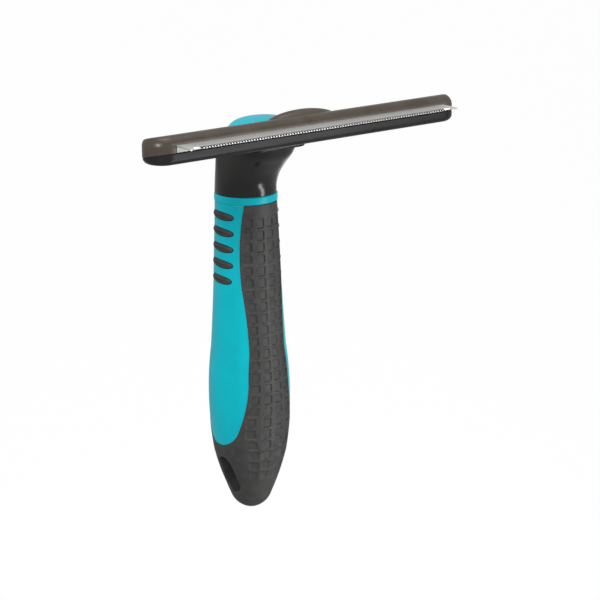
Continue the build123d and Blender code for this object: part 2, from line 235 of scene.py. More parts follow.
def joined(objs):
    """One scratch object out of several."""
    bm = bmesh.new()
    for o in objs:
        bm.from_mesh(o.data)
    mesh = bpy.data.meshes.new("joined")
    bm.to_mesh(mesh)
    bm.free()
    for o in objs:
        bpy.data.objects.remove(o)
    obj = bpy.data.objects.new("joined", mesh)
    bpy.context.scene.collection.objects.link(obj)
    return obj


def drilled(holes, z0, z1, radius):
    """Scratch cylinders at several (x, y), as one cutter."""
    return joined([rod(x, y, z0, z1, radius) for x, y in holes])


# ---------------------------------------------------------------- materials
def node_material(name):
    """New material with its node tree and its shader."""
    mat = bpy.data.materials.new(name)
    mat.use_nodes = True
    nt = mat.node_tree
    return mat, nt, nt.nodes["Principled BSDF"]


def ramp_between(nt, factor, low, high, at=(0.35, 0.65)):
    """Colour that goes from low to high as factor passes from at[0] to at[1]."""
    ramp = nt.nodes.new("ShaderNodeValToRGB")
    ramp.color_ramp.elements[0].position, ramp.color_ramp.elements[1].position = at
    ramp.color_ramp.elements[0].color = (*low, 1)
    ramp.color_ramp.elements[1].color = (*high, 1)
    nt.links.new(factor, ramp.inputs[0])
    return ramp.outputs[0]


def noise(nt, scale, detail=4.0, roughness=0.5, stretch=None):
    """Noise fixed to the object, drawn out along an axis by stretch."""
    coord = nt.nodes.new("ShaderNodeTexCoord")
    source = coord.outputs["Object"]
    if stretch:
        mapping = nt.nodes.new("ShaderNodeMapping")
        mapping.inputs["Scale"].default_value = stretch
        nt.links.new(source, mapping.inputs[0])
        source = mapping.outputs[0]
    n = nt.nodes.new("ShaderNodeTexNoise")
    n.inputs["Scale"].default_value = scale
    n.inputs["Detail"].default_value = detail
    n.inputs["Roughness"].default_value = roughness
    nt.links.new(source, n.inputs["Vector"])
    return n.outputs[0]


def bump(nt, height, strength, distance_mm, bsdf):
    """Fine relief on the shader from a height texture."""
    b = nt.nodes.new("ShaderNodeBump")
    b.inputs["Strength"].default_value = strength
    b.inputs["Distance"].default_value = distance_mm * MM
    nt.links.new(height, b.inputs["Height"])
    nt.links.new(b.outputs[0], bsdf.inputs["Normal"])


def map_range(nt, value, start=0.0, end=1.0, low=0.0, high=1.0):
    """Value mapped from start...end to low...high, held at both ends."""
    m = nt.nodes.new("ShaderNodeMapRange")
    m.inputs["From Min"].default_value, m.inputs["From Max"].default_value = start, end
    m.inputs["To Min"].default_value, m.inputs["To Max"].default_value = low, high
    nt.links.new(value, m.inputs["Value"])
    return m.outputs[0]


def math_node(nt, operation, *values):
    """Output of a math node fed by the given sockets."""
    m = nt.nodes.new("ShaderNodeMath")
    m.operation = operation
    for socket, value in zip(m.inputs, values):
        nt.links.new(value, socket)
    return m.outputs[0]


def rough(nt, factor, low, high, bsdf):
    """Uneven gloss between two roughness values."""
    nt.links.new(map_range(nt, factor, low=low, high=high), bsdf.inputs["Roughness"])


def plastic(name, low, high, rough_range, grain_mm=0.02, spec=0.5):
    """Moulded plastic: faint colour drift, fine orange peel and an uneven gloss."""
    mat, nt, p = node_material(name)
    nt.links.new(ramp_between(nt, noise(nt, 90, 3), low, high), p.inputs["Base Color"])
    rough(nt, noise(nt, 420, 4), *rough_range, p)
    bump(nt, noise(nt, 1500, 3), 0.25, grain_mm, p)
    p.inputs["Specular IOR Level"].default_value = spec
    return mat


def steel(name, low, high, rough_range, stretch):
    """Brushed steel: streaks along one direction in colour, gloss and height."""
    mat, nt, p = node_material(name)
    streak = noise(nt, 600, 6, 0.6, stretch)
    nt.links.new(ramp_between(nt, streak, low, high, (0.3, 0.7)), p.inputs["Base Color"])
    rough(nt, streak, *rough_range, p)
    bump(nt, streak, 0.35, 0.008, p)
    p.inputs["Metallic"].default_value = 1.0
    return mat


def paint_tip_highlights(mat):
    """Painted highlight on the tooth tips and horns: a lighter, less metallic steel than the plate."""
    tips_from, tips_full = -0.0532, -0.0538         # places along Y between which the tips brighten
    horns_from, horns_full, horns_share = 0.0560, 0.0600, 0.55          # the same along X, and how far it goes
    nt = mat.node_tree
    p = nt.nodes["Principled BSDF"]
    axes = nt.nodes.new("ShaderNodeSeparateXYZ")
    nt.links.new(nt.nodes.new("ShaderNodeTexCoord").outputs["Object"], axes.inputs[0])
    tips = map_range(nt, axes.outputs["Y"], tips_from, tips_full)
    horns = map_range(nt, math_node(nt, "ABSOLUTE", axes.outputs["X"]), horns_from, horns_full, high=horns_share)
    painted_glint = math_node(nt, "MAXIMUM", tips, horns)
    # painted highlight: tips and horns mix towards a light, less metallic steel
    mix = nt.nodes.new("ShaderNodeMix")
    mix.data_type = "RGBA"
    nt.links.new(painted_glint, mix.inputs["Factor"])
    nt.links.new(p.inputs["Base Color"].links[0].from_socket, mix.inputs[6])
    mix.inputs[7].default_value = (0.70, 0.70, 0.69, 1)
    nt.links.new(mix.outputs[2], p.inputs["Base Color"])
    nt.links.new(map_range(nt, painted_glint, low=0.8, high=0.45), p.inputs["Metallic"])


ALONG_X, ALONG_Y, ALONG_Z = (0.15, 4.0, 4.0), (1.0, 4.0, 1.0), (3.0, 3.0, 0.5)      # stretches of the steel's streaks
teal = plastic("teal_plastic", (0.0, 0.44, 0.53), (0.0, 0.47, 0.56), (0.30, 0.38), 0.010, spec=0.2)
teal_gloss = plastic("teal_button_plastic", (0.0, 0.42, 0.52), (0.0, 0.45, 0.55), (0.22, 0.30), 0.010)
neck_mat = plastic("neck_plastic", (0.009, 0.0085, 0.008), (0.013, 0.012, 0.011), (0.14, 0.20), 0.005, spec=0.45)
# painted reflection: the cover's dark plastic gets a warm brown tint, lighter than the casing, for the surroundings
# reflected on the bar's top
head_mat_painted_reflection = plastic("head_plastic_painted_reflection", (0.056, 0.045, 0.035), (0.076, 0.062, 0.049), (0.26, 0.36), 0.005, spec=0.32)
casing_mat = plastic("casing_plastic", (0.016, 0.0155, 0.0158), (0.022, 0.021, 0.0215), (0.24, 0.32), 0.005,
                     spec=0.14)
black = plastic("carriage_plastic", (0.012, 0.012, 0.013), (0.018, 0.018, 0.019), (0.45, 0.55))
blade_mat = steel("blade_steel", (0.70, 0.70, 0.69), (0.84, 0.84, 0.82), (0.30, 0.40), ALONG_X)
paint_tip_highlights(blade_mat)
# painted shade: dark, dull steel for the walls between the teeth
tooth_gap_shade_mat = steel("blade_gap_painted_shade_steel", (0.035, 0.035, 0.035), (0.05, 0.05, 0.05), (0.5, 0.6), ALONG_X)
# painted shade: the ejector strip's steel is darkened for the shadow that the blade casts over it
strip_shaded_mat = steel("strip_steel", (0.20, 0.20, 0.20), (0.27, 0.27, 0.27), (0.34, 0.48), ALONG_X)
screw_mat = steel("screw_steel", (0.38, 0.38, 0.38), (0.50, 0.50, 0.50), (0.28, 0.42), ALONG_Z)
spring_mat = steel("spring_wire", (0.36, 0.36, 0.35), (0.46, 0.46, 0.45), (0.25, 0.35), ALONG_Y)


def rubber():
    """Soft grip: matte, with fine pores and slightly polished high spots."""
    mat, nt, p = node_material("grip_rubber")
    nt.links.new(ramp_between(nt, noise(nt, 260, 5), (0.034, 0.0335, 0.033), (0.047, 0.046, 0.045)),
                 p.inputs["Base Color"])
    rough(nt, noise(nt, 700, 4), 0.50, 0.64, p)
    bump(nt, noise(nt, 3200, 4, 0.6), 0.45, 0.03, p)
    p.inputs["Specular IOR Level"].default_value = 0.45
    return mat


grip_mat = rubber()

# ---------------------------------------------------------------- grip: embossed rubber skin
EDGE_ROUND = 0.40                                   # round along the rubber's edges
SKIN_WALL, SKIN_COLS = 1.35, 78                     # wall thickness, and columns between the two rounded edges
SQUARE_PITCH, SQUARE_HALF, SQUARE_CORNER, SQUARE_DEPTH = 4.78, 1.90, 0.70, 0.50
SQUARE_COLS, SQUARE_SPREAD = 4, 0.955               # squares side by side, and their share of the strip's width
HOLE_LOW_R, HOLE_TIP_R, HOLE_TIP_Z = 4.7, 4.1, 7.3  # hang hole: round foot at height 0, smaller round top
HOLE_FLARE, LINER_WALL, LINER_HALF = 1.3, 0.9, 7.2


def egg(grow, n=96):
    """Outline of the hang hole in Y-Z, counter-clockwise, grown outwards."""
    low_r, tip_r = HOLE_LOW_R + grow, HOLE_TIP_R + grow
    lean = math.asin((low_r - tip_r) / HOLE_TIP_Z)
    low = np.linspace(math.pi - lean, 2 * math.pi + lean, n // 2)
    tip = np.linspace(lean, math.pi - lean, n // 2)
    return np.concatenate([np.stack([low_r * np.cos(low), low_r * np.sin(low)], 1),
                           np.stack([tip_r * np.cos(tip), HOLE_TIP_Z + tip_r * np.sin(tip)], 1)])


def square_depth(s, across, half_width):
    """Share of the squares' depth at a place on the strip: s along the handle, across in mm."""
    pitch = 2 * half_width * SQUARE_SPREAD / SQUARE_COLS
    col = across / pitch + SQUARE_COLS / 2
    cell = np.floor(col)
    u = (col - cell - 0.5) * pitch
    row = s / SQUARE_PITCH
    v = (row - np.floor(row) - 0.5) * SQUARE_PITCH
    half_u = np.minimum(SQUARE_HALF, pitch / 2 - 0.75)
    dx = np.abs(u) - (half_u - SQUARE_CORNER)
    dy = np.abs(v) - (SQUARE_HALF - SQUARE_CORNER)
    d = np.hypot(np.maximum(dx, 0), np.maximum(dy, 0)) + np.minimum(np.maximum(dx, dy), 0) - SQUARE_CORNER
    inside = (cell >= 0) & (cell < SQUARE_COLS)
    return np.where(inside, 1 - smooth(d, -0.14, 0.08), 0)


def skin_rows():
    """Distances along the grip's profile at which the skin has rows: fine at the windows' feet and at the rim."""
    total = run[-1]
    rows = [0.0, 0.35, 0.8]
    s = 1.2
    while s < total - 0.9:
        rows.append(s)
        s += 0.07 if 16.9 < np.interp(s, run, profile[:, 1]) < 21.0 else 0.29
    return np.array(rows + [total - d for d in (0.8, 0.55, 0.35, 0.2, 0.08, 0)])


def edge_round(distance):
    """Depth of the rounded edge at a distance from it."""
    k = np.clip(EDGE_ROUND - distance, 0, EDGE_ROUND)
    return EDGE_ROUND - np.sqrt(EDGE_ROUND**2 - k**2)


def grip_skin():
    """Front and back strips of rubber, joined round the tip, with rows of recessed squares."""
    s_rows = skin_rows()
    r_rows = np.interp(s_rows, run, profile[:, 0])
    z_rows = np.interp(s_rows, run, profile[:, 1])
    # direction of the outward normal in (radius, height)
    tr, tz = np.gradient(r_rows, s_rows), np.gradient(z_rows, s_rows)
    length = np.hypot(tr, tz)
    nr, nz = tz / length, -tr / length
    fine = np.array([0.0, 0.04, 0.09, 0.16, 0.25, 0.36, 0.5, 0.7])      # columns over the rounded edge
    cols = SKIN_COLS + 2 * len(fine)
    verts, faces = [], []
    for front in (-1, 1):
        base = len(verts)
        for s, z, r, out_r, out_z in zip(s_rows, z_rows, r_rows, nr, nz):
            r = max(r, 1e-4)
            w = float(window_at(z))
            half = max(math.acos(min(1.0, w / r)) * r, 1e-3)             # half width along the surface
            if half > 1.5:
                inner = np.linspace(-(half - 0.9), half - 0.9, SKIN_COLS)
                across = np.concatenate([-(half - fine), inner, (half - fine)[::-1]])
            else:
                across = np.linspace(-half, half, cols)
            # the squares follow the strip's width where it is a strip, and keep a fixed angle below that
            blend = float(smooth(z, 16, 30))
            strip = blend * half + (1 - blend) * min(half, 0.735 * r)
            fade = float(smooth(z, -3.0, 9.0)) * (1 - float(smooth(z, 111.0, 112.5)))
            depth = SQUARE_DEPTH * fade * square_depth(s - 1.4, across, strip) + edge_round(run[-1] - s)
            if z > window[0, 1]:
                depth += edge_round(half - np.abs(across))
            rr, zz = r - depth * out_r, z - depth * out_z
            verts += list(np.stack([rr * np.sin(across / r), front * rr * np.cos(across / r), zz], 1))
        faces += grid_faces(len(s_rows), cols, base=base, flip=front > 0)
    obj = new_object("grip_skin", verts, faces, "tool", grip_mat)
    weld(obj, WELD_RINGS)
    wall = obj.modifiers.new("wall", "SOLIDIFY")
    wall.thickness, wall.offset = SKIN_WALL * MM, -1
    apply_modifiers(obj)
    cut(obj, prism("hole", egg(HOLE_FLARE), -20, 20, 0))
    soften(obj, 50)
    return obj


def hole_liner():
    """Rubber wall of the hang hole, flaring into the outside of the grip."""
    outline = egg(0.0)
    n = len(outline)
    tangent = np.roll(outline, -1, 0) - np.roll(outline, 1, 0)
    normal = np.stack([tangent[:, 1], -tangent[:, 0]], 1)
    normal /= np.linalg.norm(normal, axis=1)[:, None]

    def ring(x, points):
        return np.stack([np.broadcast_to(x, n), points[:, 0], points[:, 1]], 1)

    def mouth(side):
        """Rings from the grip's surface over the flare and into the hole, at one end."""
        rings = []
        for a in np.radians([90, 78, 66, 54, 42, 30, 18, 8, 0]):
            points = outline + normal * HOLE_FLARE * (1 - math.cos(a))
            surface = np.sqrt(np.maximum(radius_at(points[:, 1])**2 - points[:, 0]**2, 1))
            rings.append(ring(side * (surface - HOLE_FLARE * (1 - math.sin(a))), points))
        return rings + [ring(side * 3.0, outline)]

    back = [ring(x, outline + normal * LINER_WALL) for x in (LINER_HALF, -LINER_HALF)]
    rings = mouth(-1) + mouth(1)[::-1] + back
    faces = grid_faces(len(rings), n, wrap=True) + ring_bridge(len(rings), n)
    obj = new_object("hole_liner", np.concatenate(rings), faces, "tool", grip_mat)
    weld(obj, WELD_FINE)
    soften(obj, 60)
    return obj


skin = grip_skin()
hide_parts("grip_sleeve")
hole_liner()


# ---------------------------------------------------------------- teal core, rib pockets and collar
CORE_FOOT, CORE_UNDER, CORE_BURIED = 14.6, 0.22, 0.85   # lowest point, step below the rubber, extra step beneath it
PAD_Z = [111.6, 105.2, 98.8, 92.4, 86.0]
PAD_TILT = math.radians(2.5)
PAD_HALF_L, PAD_HALF_H, PAD_POWER = 6.4, 1.5, 2.5
PAD_SHORTER = [0.0, 0.0, 0.0, 0.0, 0.4]             # the lowest rib is a little shorter
POCKET_GAP, POCKET_FLOOR = 0.22, 10.2


def rib_outline(k, grow):
    """Rounded oblong of rib k in Y-Z, tilted and in place, grown outwards."""
    t = np.linspace(0, 2 * math.pi, 72, endpoint=False)
    y = (PAD_HALF_L - PAD_SHORTER[k] + grow) * np.sign(np.cos(t)) * np.abs(np.cos(t)) ** (2 / PAD_POWER)
    z = (PAD_HALF_H + grow) * np.sign(np.sin(t)) * np.abs(np.sin(t)) ** (2 / PAD_POWER)
    c, d = math.cos(PAD_TILT), math.sin(PAD_TILT)
    return np.stack([y * c - z * d, PAD_Z[k] + y * d + z * c], 1)


def core_shell():
    """Teal core: at the surface in the side windows, set back under the rubber, with a pocket for each rib."""
    heights = np.concatenate([np.arange(CORE_FOOT, 25, 0.2), np.arange(25, 116.2, 0.9), [116.3, GRIP_TOP]])
    t = np.linspace(0, 2 * math.pi, 360, endpoint=False)
    radii = radius_at(heights) - CORE_UNDER
    radii[-1] -= 0.15                               # chamfer at the top
    rings = []
    for z, r in zip(heights, radii):
        w = float(window_at(z))
        r = r - CORE_BURIED * smooth(np.abs(r * np.cos(t)), w + 0.25, w + 0.75)
        rings.append(np.stack([r * np.sin(t), -r * np.cos(t), np.full(len(t), z)], 1))
    faces = grid_faces(len(rings), len(t), wrap=True) + end_caps(len(rings), len(t))
    obj = new_object("core_shell", np.concatenate(rings), faces, "tool", teal)
    cut(obj, joined([prism("pocket", rib_outline(k, POCKET_GAP), side * POCKET_FLOOR, side * 20, 0)
                     for side in (-1, 1) for k in range(len(PAD_Z))]))
    soften(obj, 40)
    return obj


def grip_rib(side, k):
    """One oval rubber rib, pillowed and a little proud of the teal."""
    shrink = [0.0, 0.02, 0.08, 0.18, 0.32, 0.5, 0.75, 1.05, 1.3]
    rise = [-1.04, -0.29, -0.02, 0.12, 0.22, 0.30, 0.36, 0.40, 0.41]
    rings = []
    for inset, height in zip(shrink, rise):
        edge = rib_outline(k, -inset)
        x = side * (np.sqrt(radius_at(edge[:, 1]) ** 2 - edge[:, 0] ** 2) + height)
        rings.append(np.stack([x, edge[:, 0], edge[:, 1]], 1))
    n = len(rings[0])
    faces = grid_faces(len(rings), n, wrap=True) + end_caps(len(rings), n)
    word = "left" if side < 0 else "right"
    obj = new_object(f"{word}_rib_pad_{k + 1}", np.concatenate(rings), faces, "tool", grip_mat)
    weld(obj, WELD_FINE)
    soften(obj, 50)
    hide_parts(f"{word}_grip_rib_{k + 1}")


def collar_band():
    """Ring turned about the handle's axis, its outer rims rounded."""
    bore, radius, low, high = 8.2, 12.55, 0.28, 0.5                     # low and high are the rims' rounds
    outline = [(bore, GRIP_TOP + 0.02), (radius - low, GRIP_TOP + 0.02)]
    outline += [(radius - low + low * math.sin(a), GRIP_TOP + 0.3 - low * math.cos(a))
                for a in np.linspace(0.3, 1.57, 5)]
    outline += [(radius - high + high * math.cos(a), COLLAR_TOP - high + high * math.sin(a))
                for a in np.linspace(0, 1.57, 8)]
    outline += [(bore, COLLAR_TOP)]
    t = np.linspace(0, 2 * math.pi, 256, endpoint=False)
    rings = [np.stack([r * np.sin(t), -r * np.cos(t), np.full(len(t), z)], 1) for r, z in outline]
    faces = grid_faces(len(rings), len(t), wrap=True) + ring_bridge(len(rings), len(t))
    obj = new_object("collar_band", np.concatenate(rings), faces, "tool", teal)
    weld(obj, WELD_FINE)
    soften(obj, 40)
    return obj


core = core_shell()
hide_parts("handle_core")
for side in (-1, 1):
    for k in range(len(PAD_Z)):
        grip_rib(side, k)
collar = collar_band()
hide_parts("collar_ring")

# ---------------------------------------------------------------- neck
# height, half width, reach to the front, reach to the back, squareness of the front
NECK = [(119.5, 12.35, 11.9, 12.6, 2.0), (123.0, 12.3, 12.1, 12.2, 2.05), (127.5, 12.5, 14.1, 11.0, 2.2),
        (132.5, 12.9, 18.1, 8.9, 2.5), (136.5, 13.3, 21.8, 6.8, 2.8), (139.8, 13.6, 23.7, 5.6, 3.0)]


def spline_rows(table, n):
    """The section table interpolated smoothly at n heights (Catmull-Rom)."""
    table = np.array(table)
    z = table[:, 0]
    out = []
    for zi in np.linspace(z[0], z[-1], n):
        k = min(max(np.searchsorted(z, zi) - 1, 0), len(z) - 2)
        h = z[k + 1] - z[k]
        t = (zi - z[k]) / h
        m = []
        for j in (k, k + 1):
            lo, hi = max(j - 1, 0), min(j + 1, len(z) - 1)
            m.append((table[hi, 1:] - table[lo, 1:]) / (z[hi] - z[lo]))
        v = ((2 * t**3 - 3 * t**2 + 1) * table[k, 1:] + (t**3 - 2 * t**2 + t) * h * m[0]
             + (-2 * t**3 + 3 * t**2) * table[k + 1, 1:] + (t**3 - t**2) * h * m[1])
        out.append((zi, *v))
    return out


def neck_ring(z, half, front, back, square, shrink):
    """Neck section: round behind, squarer in front."""
    t = np.linspace(0, 2 * math.pi, 192, endpoint=False)
    c, d = np.cos(t), np.sin(t)
    power = np.where(d > 0, 1.0, 2.0 / square)
    x = np.sign(c) * (half - shrink) * np.abs(c) ** power
    y = np.sign(d) * (np.where(d > 0, back, front) - shrink) * np.abs(d) ** power
    return np.stack([x, y, np.full(len(t), z)], 1)


def neck_piece():
    """Neck from just above the collar to the flange, with a small step in at its foot."""
    rows = spline_rows(NECK, 44)
    rings = [neck_ring(COLLAR_TOP + 0.03, *rows[0][1:], shrink=0.5)]
    rings += [neck_ring(max(row[0], COLLAR_TOP + 0.15), *row[1:], shrink=0.03) for row in rows]
    obj = stack_of_rings("neck_shell", rings, neck_mat, caps=True)
    soften(obj, 45)
    return obj


neck = neck_piece()
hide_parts("neck")

# ---------------------------------------------------------------- blade bar
BAR_R, BAR_MID, BAR_END = 7.3, -38.7, 63.5          # end radius, centre line, half length of the straight
BAR_FOOT, BAR_TOP, EDGE_TOP, EDGE_FOOT = 145.75, 156.1, 4.0, 2.5        # EDGE_: rounds along the top and the foot
CROWN = [(-49.0, 156.8), (-40.0, 155.75), (-28.4, 151.9)]               # the top's curve, as (y, height)
HUMP_X, HUMP_Y, HUMP_MID, HUMP_FOOT, HUMP_RISE = 18.0, 4.8, -36.3, 151.5, 5.85
PART_FRONT, PART_FALL, PART_GAP = 150.2, 3.3 / 14.6, 0.03               # parting: height in front, fall, half gap
PART_GROOVE = 0.22                                  # chamfer along the parting
PLATE_FOOT, PLATE_TOP, PLATE_REAR = 152.5, 153.1, -34.5                 # blade plate in its slot
SLOT_X, CHANNEL_X, RIG_X = 62.3, 7.2, 8.2           # half widths of blade slot, carriage channel and spring block
CHANNEL_FLOOR, FLANGE_FOOT, FLANGE_TOP = 147.1, 139.8, 141.3
HEAD_SCREWS = [(-45.0, -36.6), (-20.0, -36.6), (20.0, -36.6), (45.0, -36.6)]
NECK_SCREWS = [(-4.6, -13.5), (4.6, -13.5)]
SPRING_FIXED, SPRING_SEAT, TRAVEL = -26.4, -14.6, 7.5                   # well front, carriage lug at rest, travel
CLEAR = 155.0                                       # any height above the casing
crown_line = arc_points(*CROWN, 0.1)
BAR_X = np.unique(np.concatenate([np.linspace(-BAR_END, -16, 60), np.linspace(-16, 16, 81),
                                  np.linspace(16, BAR_END, 60)]))


def bar_plan(inset):
    """Plan outline of the bar, moved in by inset; collapses to the centre line at BAR_R."""
    r = max(BAR_R - inset, 0.0)
    a = np.linspace(-math.pi / 2, math.pi / 2, 41)[1:-1]
    front = np.stack([BAR_X, np.full_like(BAR_X, BAR_MID - r)], 1)
    right = np.stack([BAR_END + r * np.cos(a), BAR_MID + r * np.sin(a)], 1)
    back = np.stack([BAR_X[::-1], np.full_like(BAR_X, BAR_MID + r)], 1)
    left = np.stack([-BAR_END - r * np.cos(a), BAR_MID - r * np.sin(a)], 1)
    return np.concatenate([front, right, back, left])


def part_z(y):
    """Height of the sloping parting line."""
    return PART_FRONT - PART_FALL * (y - BAR_MID + BAR_R)


def round_top(inset):
    """Height of the bar's rounded upper edge at a distance in from the wall."""
    k = EDGE_TOP - np.minimum(inset, EDGE_TOP)
    return BAR_TOP - EDGE_TOP + np.sqrt(EDGE_TOP**2 - k**2)


def soft_max(a, b, k):
    """The larger of a and b, blended over k where they meet."""
    h = np.maximum(k - np.abs(a - b), 0) / k
    return np.maximum(a, b) + h * h * k / 4


def crown_z(x, y, inset):
    """Height of the cover's top: rounded edge, falling crown and the oval hump."""
    z = -soft_max(-np.full_like(x, round_top(inset)), -np.interp(y, crown_line[:, 0], crown_line[:, 1]), 0.5)
    q = 1 - (x / HUMP_X) ** 2 - ((y - HUMP_MID) / HUMP_Y) ** 2
    hump = np.where(q > 0, HUMP_FOOT + HUMP_RISE * np.sqrt(np.maximum(q, 0)), BAR_FOOT)
    return soft_max(z, hump, 0.2)


def at(plan, z):
    """Ring of a plan outline at a height, or at one height a point."""
    return np.stack([plan[:, 0], plan[:, 1], np.broadcast_to(z, len(plan))], 1)


def wall_inset(z):
    """How far the lower edge round stands in at a height."""
    k = np.clip(BAR_FOOT + EDGE_FOOT - z, 0, EDGE_FOOT)
    return EDGE_FOOT - np.sqrt(EDGE_FOOT**2 - k**2)


def plan_at_heights(z):
    """Plan points whose own inset follows the lower edge round at each point's height."""
    outer, inner = bar_plan(0.0), bar_plan(1.0)
    return outer + (inner - outer) * wall_inset(z)[:, None]


def parting_ring(push, lift):
    """Ring along the parting line, moved in by push and up by lift."""
    outer, inner = bar_plan(0.0), bar_plan(1.0)
    y = outer[:, 1]
    for _ in range(4):
        y = (outer + (inner - outer) * (wall_inset(part_z(y) + lift) + push)[:, None])[:, 1]
    z = part_z(y) + lift
    return at(outer + (inner - outer) * (wall_inset(z) + push)[:, None], z)


def cover_piece():
    """Upper casing: from the parting line over the crown, with the blade slot and the room behind it cut out."""
    rings = [at(bar_plan(inset), part_z(bar_plan(inset)[:, 1]) + PART_GAP) for inset in (BAR_R, 5.0, 2.5, 1.2)]
    low = parting_ring(0.0, PART_GROOVE)
    rings += [parting_ring(PART_GROOVE, PART_GAP), low]
    for f in (0.2, 0.4, 0.6, 0.8):
        z = low[:, 2] * (1 - f) + (BAR_TOP - EDGE_TOP) * f
        rings.append(at(plan_at_heights(z), z))
    levels = [0.0, 0.05, 0.12, 0.22, 0.35, 0.5, 0.7, 0.95, 1.25, 1.6] + list(np.linspace(1.95, 7.1, 19)) + [BAR_R]
    for inset in levels:
        plan = bar_plan(inset)
        rings.append(at(plan, crown_z(plan[:, 0], plan[:, 1], inset)))
    obj = stack_of_rings("cover_shell", rings, head_mat_painted_reflection)
    below = 140.0
    cut(obj, block(-SLOT_X, SLOT_X, -52, PLATE_REAR, below, PLATE_TOP),
        block(-CHANNEL_X, CHANNEL_X, -44, -33.1, below, 152.4),
        block(-CHANNEL_X, CHANNEL_X, -34, -20, below, 148.8),
        block(-RIG_X - 0.05, RIG_X + 0.05, -32.65, -20, below, CHANNEL_FLOOR + 0.05),
        drilled(HEAD_SCREWS, below, 154, 1.15))
    soften(obj, 32, 0.1)
    return obj


def flange_plate():
    """Rounded plate under the button, its rim half round. Scratch solid."""
    half, front, back, r = 14.0, -24.0, 9.0, 5.5
    quarter = np.linspace(0, math.pi / 2, 16)
    corners = [(half - r, back - r), (r - half, back - r), (r - half, front + r), (half - r, front + r)]
    normal = np.concatenate([np.stack([np.cos(quarter + k * math.pi / 2), np.sin(quarter + k * math.pi / 2)], 1)
                             for k in range(4)])
    outline = np.repeat(corners, len(quarter), axis=0) + r * normal
    rim = [(0.45, 0.0), (0.2, 0.07), (0.05, 0.23), (0.0, 0.45)]         # (in from the edge, up from the face)
    levels = [(i, FLANGE_FOOT + h) for i, h in rim] + [(i, FLANGE_TOP - h) for i, h in rim[::-1]]
    rings = [at(outline - normal * i, z) for i, z in levels]
    faces = grid_faces(len(rings), len(outline), wrap=True) + end_caps(len(rings), len(outline))
    obj = scratch("flange", np.concatenate(rings), faces)
    weld(obj)
    return obj


def casing_piece():
    """Lower casing with the blade's seat, the screw bosses, the spring block and the flange."""
    rings = [at(bar_plan(inset), BAR_FOOT) for inset in (BAR_R, 6.0, 4.5, 3.4)]
    high = parting_ring(0.0, -PART_GROOVE)
    for f in (0.0, 0.012, 0.04, 0.09, 0.15, 0.22, 0.3, 0.4, 0.5, 0.6, 0.8, 1.0):
        z = BAR_FOOT * (1 - f) + high[:, 2] * f
        rings.append(at(plan_at_heights(z), z))
    rings.append(parting_ring(PART_GROOVE, -PART_GAP))
    rings += [at(bar_plan(inset), part_z(bar_plan(inset)[:, 1]) - PART_GAP) for inset in (1.2, 2.5, 5.0, BAR_R)]
    obj = stack_of_rings("head_casing", rings, casing_mat)
    fuse(obj, block(-61.8, 61.8, -45.0, -37.5, 147.0, 150.1),           # seat of the strip
         drilled(HEAD_SCREWS, 147.5, PLATE_FOOT - 0.02, 2.0),           # bosses
         block(-RIG_X, RIG_X, -32.6, -10.8, 143.1, CHANNEL_FLOOR),      # spring block
         block(-RIG_X, RIG_X, -23.6, -10.8, 140.9, CHANNEL_FLOOR),
         flange_plate())
    cut(obj, block(-CHANNEL_X, CHANNEL_X, -43.4, -30.0, CHANNEL_FLOOR, CLEAR),
        block(-7.0, 7.0, SPRING_FIXED, -11.9, 144.0, CLEAR),            # spring well
        drilled(HEAD_SCREWS, 143.0, CLEAR, 1.25),
        drilled(HEAD_SCREWS, 145.0, 147.45, 2.4),                       # screw heads
        drilled(NECK_SCREWS, 139.0, 145.0, 1.2),
        drilled(NECK_SCREWS, 142.6, 145.0, 2.1))
    soften(obj, 32, 0.1)
    return obj


cover = cover_piece()
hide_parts("bar_cover")
casing = casing_piece()
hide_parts("head_body")


# ---------------------------------------------------------------- blade
TEETH, PITCH, TOOTH_ROOT, TOOTH_TIP = 93, 1.22, 0.30, 0.17              # TOOTH_: half widths
ROOT_Y, TIP_Y, HORN_Y, BEVEL_Y, BEVEL_FALL = -52.6, -54.2, -55.0, -50.2, 0.03


def blade_outline():
    """Front edge of the blade as (x, y), left to right: horn, teeth, horn."""
    first = -(TEETH - 1) / 2 * PITCH
    left = [(-62.2, HORN_Y), (-61.7, HORN_Y), (-59.6, ROOT_Y - 0.25), (first - 0.75, ROOT_Y)]
    teeth = [(first + k * PITCH + dx, y) for k in range(TEETH)
             for dx, y in ((-TOOTH_ROOT, ROOT_Y), (-TOOTH_TIP, TIP_Y), (TOOTH_TIP, TIP_Y), (TOOTH_ROOT, ROOT_Y))]
    return left + teeth + [(-x, y) for x, y in left[::-1]]


